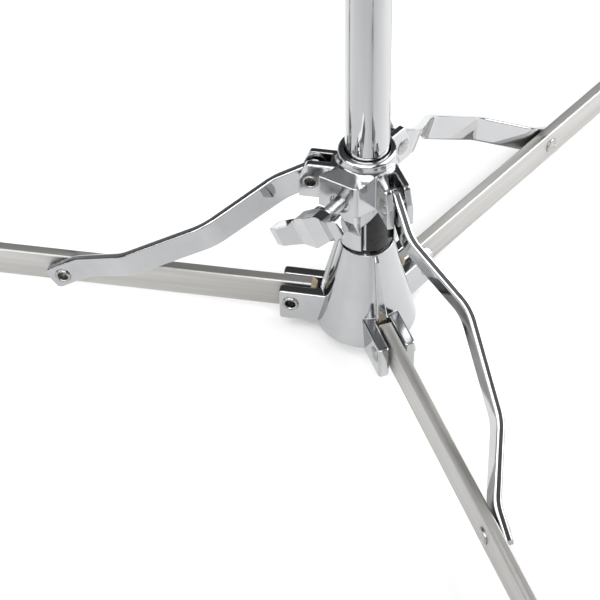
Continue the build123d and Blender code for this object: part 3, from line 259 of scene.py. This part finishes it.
# ---- Felts --------------------------------------------------------------------------------
FELT_BORE_R = 6.1 * MM
FELT_SIDE_ROOM = 0.3 * MM  # left inside the CAD ring for lumps and fuzz
FELT_FACE_ROOM = 0.1 * MM
FELT_RIM_R = 2.8 * MM  # rounding of the outer rims
FELT_BORE_RIM_R = FELT_RIM_R * 0.5
FELT_RIM_STEPS = 7
FELT_SPACING = 0.8 * MM  # of the points around the section
FELT_TURNS = 144
LUMP_HEIGHT = 0.22 * MM
LUMP_SCALE = 260
FUZZ_HEIGHT = 0.1 * MM
FUZZ_SCALE = 1500
FELT_SINK_FACE = 0.15 * MM  # draws the surface in, against the lumps that push it out
FELT_SINK_SIDE = 0.1 * MM


def felt_section(outer, half):
    """Closed outline of a felt washer's section, as (radius, height) points."""
    bore_corner = FELT_BORE_R + FELT_BORE_RIM_R
    corners = (
        (outer - FELT_RIM_R, half - FELT_RIM_R, FELT_RIM_R, 90.0),
        (outer - FELT_RIM_R, FELT_RIM_R - half, FELT_RIM_R, 0.0),
        (bore_corner, FELT_BORE_RIM_R - half, FELT_BORE_RIM_R, -90.0),
        (bore_corner, half - FELT_BORE_RIM_R, FELT_BORE_RIM_R, -180.0),
    )
    outline = []
    for corner_r, corner_z, radius, start in corners:
        for step in range(FELT_RIM_STEPS):
            angle = math.radians(start - 90.0 * step / (FELT_RIM_STEPS - 1))
            outline.append((corner_r + radius * math.cos(angle), corner_z + radius * math.sin(angle)))
    points = []
    for index, (r, z) in enumerate(outline):
        next_r, next_z = outline[(index + 1) % len(outline)]
        pieces = max(1, round(math.hypot(next_r - r, next_z - z) / FELT_SPACING))
        for piece in range(pieces):
            share = piece / pieces
            points.append((r + (next_r - r) * share, z + (next_z - z) * share))
    return points


def felt_ring(node, seed):
    """Thick felt washer with softened, slightly uneven rims and a fine fuzz."""
    low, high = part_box(node)
    centre = (low + high) / 2
    outer = (high.x - low.x) / 2 - FELT_SIDE_ROOM
    half = (high.z - low.z) / 2 - FELT_FACE_ROOM
    points = felt_section(outer, half)
    vertices = []
    for turn in range(FELT_TURNS):
        angle = 2 * math.pi * turn / FELT_TURNS
        outward = Vector((math.cos(angle), math.sin(angle), 0))
        for r, z in points:
            place = Vector((r * math.cos(angle), r * math.sin(angle), z))
            lump = noise.noise(place * LUMP_SCALE + Vector((seed, 0, 0))) * LUMP_HEIGHT
            fuzz = noise.noise(place * FUZZ_SCALE + Vector((0, seed, 0))) * FUZZ_HEIGHT
            swell = 1.0 + (lump + fuzz - FELT_SINK_FACE) / (half + outer)
            level = Vector((place.x, place.y, place.z * swell))
            vertices.append(centre + level + outward * (lump + fuzz - FELT_SINK_SIDE))
    count = len(points)
    faces = []
    for turn in range(FELT_TURNS):
        after = (turn + 1) % FELT_TURNS
        for index in range(count):
            nxt = (index + 1) % count
            faces.append(
                (turn * count + index, turn * count + nxt, after * count + nxt, after * count + index)
            )
    mesh = bpy.data.meshes.new(f"{node}_soft")
    mesh.from_pydata(vertices, [], faces)
    mesh.update()
    for polygon in mesh.polygons:
        polygon.use_smooth = True
    piece = bpy.data.objects.new(f"{node}_soft", mesh)
    bpy.context.scene.collection.objects.link(piece)
    mesh.materials.append(felt_finish)
    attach(piece, "seat")
    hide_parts(node)


felt_ring("felt_lower", 3.1)
felt_ring("felt_upper", 8.7)


# ---- Studio -------------------------------------------------------------------------------
FLOOR_HALF = 1.1
FLOOR_TURN = -69.0  # turns the floor's own X to point away from the camera
FLOOR_FADE = (-0.34, 0.06)  # where along that X the floor's painted shade fades from its near to its far level
# painted shade on the floor: its colour near the camera and far from it, darker near the camera in
# place of light falling off
FLOOR_PAINTED_SHADE_TONES = (0.6, 0.95)
LIGHTS = (  # name, place, target, width, height, watts
    ("key", (-1.05, -1.50, 1.95), (0, 0, 0), 2.6, 2.4, 82),
    ("fill", (1.98, -0.53, 1.6), (0, 0, 0), 2.4, 2.2, 68),
    ("left", (-2.2, -0.2, 1.2), (0, 0, 0.2), 1.2, 1.6, 24),
    ("right", (2.2, 0.3, 1.2), (0, 0, 0.2), 1.0, 1.6, 24),
)
SKY_STOPS = (  # sine of the height above the horizon, brightness
    (0.0, 0.95),
    (0.03, 0.3),
    (0.14, 0.16),
    (0.5, 0.04),
    (0.78, 0.09),
    (0.93, 0.4),
    (1.0, 0.8),
)
SKY_TINT = (1.0, 1.0, 1.01)


def build_floor():
    """Large pale floor, its colour a little darker on the camera's side: painted shade standing in
    for light falling off, for the metal to reflect.
    """
    mesh = bpy.data.meshes.new("floor")
    corners = [(-1, -1), (1, -1), (1, 1), (-1, 1)]
    mesh.from_pydata([(x * FLOOR_HALF, y * FLOOR_HALF, 0) for x, y in corners], [], [(0, 1, 2, 3)])
    floor = bpy.data.objects.new("floor", mesh)
    bpy.context.scene.collection.objects.link(floor)
    graph = Graph("floor_painted_shade")
    ahead = graph.node("ShaderNodeSeparateXYZ")
    graph.link(graph.mapped(rotation=(0, 0, FLOOR_TURN)), ahead.inputs["Vector"])
    fade = graph.node("ShaderNodeMapRange")
    near_x, far_x = FLOOR_FADE
    fade.inputs["From Min"].default_value = near_x
    fade.inputs["From Max"].default_value = far_x
    graph.link(ahead.outputs["X"], fade.inputs["Value"])
    near, far = FLOOR_PAINTED_SHADE_TONES
    # painted shade: floor colour darker towards the camera, in place of light falling off
    painted_shade_tone = graph.ramp(fade.outputs["Result"], ((0.0, grey(near)), (1.0, grey(far))))
    mesh.materials.append(graph.finish(0.0, colour=painted_shade_tone))
    graph.shader.inputs["Roughness"].default_value = 0.9
    graph.shader.inputs["Specular IOR Level"].default_value = 0.1


def area_light(name, place, target, width, height, power):
    """Soft rectangular light aimed at a point."""
    light = bpy.data.lights.new(name, "AREA")
    light.shape = "RECTANGLE"
    light.size = width
    light.size_y = height
    light.energy = power
    lamp = bpy.data.objects.new(name, light)
    bpy.context.scene.collection.objects.link(lamp)
    lamp.location = place
    aim = Vector(target) - Vector(place)
    lamp.rotation_euler = aim.to_track_quat("-Z", "Y").to_euler()


def build_world():
    """White surroundings for the camera, with darker stretches for the metal to reflect."""
    world = bpy.data.worlds.new("studio")
    bpy.context.scene.world = world
    world.use_nodes = True
    tree = world.node_tree
    background = tree.nodes["Background"]
    coords = tree.nodes.new("ShaderNodeTexCoord")
    split = tree.nodes.new("ShaderNodeSeparateXYZ")
    tree.links.new(coords.outputs["Generated"], split.inputs["Vector"])
    ramp = tree.nodes.new("ShaderNodeValToRGB")
    elements = ramp.color_ramp.elements
    while len(elements) < len(SKY_STOPS):
        elements.new(1.0)
    for element, (position, level) in zip(elements, SKY_STOPS):
        element.position = position
        element.color = (*grey(level, SKY_TINT), 1)
    tree.links.new(split.outputs["Z"], ramp.inputs["Fac"])
    path = tree.nodes.new("ShaderNodeLightPath")
    mix = tree.nodes.new("ShaderNodeMix")
    mix.data_type = "RGBA"
    tree.links.new(path.outputs["Is Camera Ray"], mix.inputs["Factor"])
    tree.links.new(ramp.outputs["Color"], mix.inputs["A"])
    mix.inputs["B"].default_value = (1, 1, 1, 1)
    tree.links.new(mix.outputs["Result"], background.inputs["Color"])
    background.inputs["Strength"].default_value = 1.0


build_floor()
for light_settings in LIGHTS:
    area_light(*light_settings)
build_world()
bpy.context.scene.view_settings.view_transform = "Standard"


# ---- Camera -------------------------------------------------------------------------------
PIVOT_HEIGHT = 26.0 * MM
CAMERA_DISTANCE = 0.79652  # from the tubes' axis, measured level
CAMERA_BEARING = 21.1  # degrees round from -Y, towards -X
CAMERA_RISE = 0.81639  # above the leg pivots
CAMERA_HEADING = 18.22  # degrees from +Y towards +X
CAMERA_TILT = 45.72
CAMERA_ROLL = 1.60
FOCAL_SHARE = 1883.32 / 600  # focal length over the picture's width
SENSOR = 36.0


def build_camera():
    """Camera at the photograph's place and angle."""
    heading = math.radians(CAMERA_HEADING)
    tilt = math.radians(CAMERA_TILT)
    roll = math.radians(CAMERA_ROLL)
    bearing = math.radians(CAMERA_BEARING)
    forward = Vector(
        (math.sin(heading) * math.cos(tilt), math.cos(heading) * math.cos(tilt), -math.sin(tilt))
    )
    right = Vector((math.cos(heading), -math.sin(heading), 0))
    down = forward.cross(right)
    rolled_right = math.cos(roll) * right + math.sin(roll) * down
    rolled_down = math.cos(roll) * down - math.sin(roll) * right
    data = bpy.data.cameras.new("camera")
    data.sensor_width = SENSOR
    data.lens = SENSOR * FOCAL_SHARE
    data.clip_end = 50
    camera = bpy.data.objects.new("camera", data)
    bpy.context.scene.collection.objects.link(camera)
    turn = Matrix((rolled_right, -rolled_down, -forward)).transposed().to_4x4()
    place = Vector(
        (
            -CAMERA_DISTANCE * math.sin(bearing),
            -CAMERA_DISTANCE * math.cos(bearing),
            PIVOT_HEIGHT + CAMERA_RISE,
        )
    )
    camera.matrix_world = Matrix.Translation(place) @ turn
    bpy.context.scene.camera = camera


build_camera()
